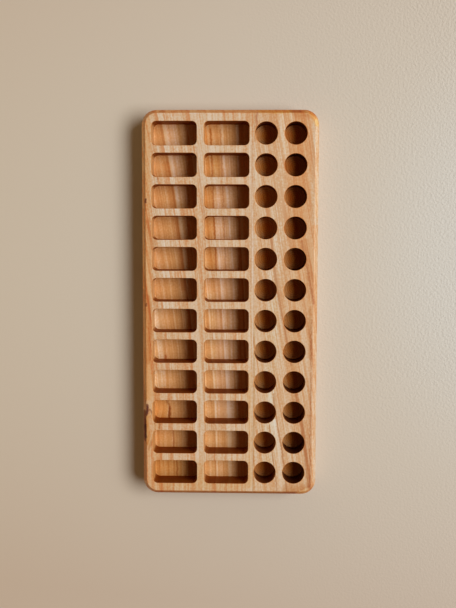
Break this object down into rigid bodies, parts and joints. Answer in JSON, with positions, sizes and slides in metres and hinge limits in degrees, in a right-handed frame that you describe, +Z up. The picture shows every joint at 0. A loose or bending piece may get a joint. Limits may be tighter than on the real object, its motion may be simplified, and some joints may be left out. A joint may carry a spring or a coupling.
{
  "type": "tool storage caddy",
  "caption": "Flat wooden desk caddy with rows of rounded rectangular slots beside rows of round blind holes for hobby sticks and blocks.",
  "frame": {"origin": "under the middle of the board, on the surface it stands on", "axes": "+X across the board towards the round holes, +Y along the grain, +Z up out of the pockets"},
  "size_m": [0.0992, 0.2186, 0.018],
  "materials": {
    "oiled_wood_wide": "planed, sanded and oiled, satin",
    "oiled_wood_narrow": "planed, sanded and oiled, satin",
    "wood_glue": "cured wood glue, dull"
  },
  "bodies": {
    "root": {"wide_stave": "oiled_wood_wide", "glue_line": "wood_glue", "narrow_stave": "oiled_wood_narrow"}
  },
  "joints": []
}
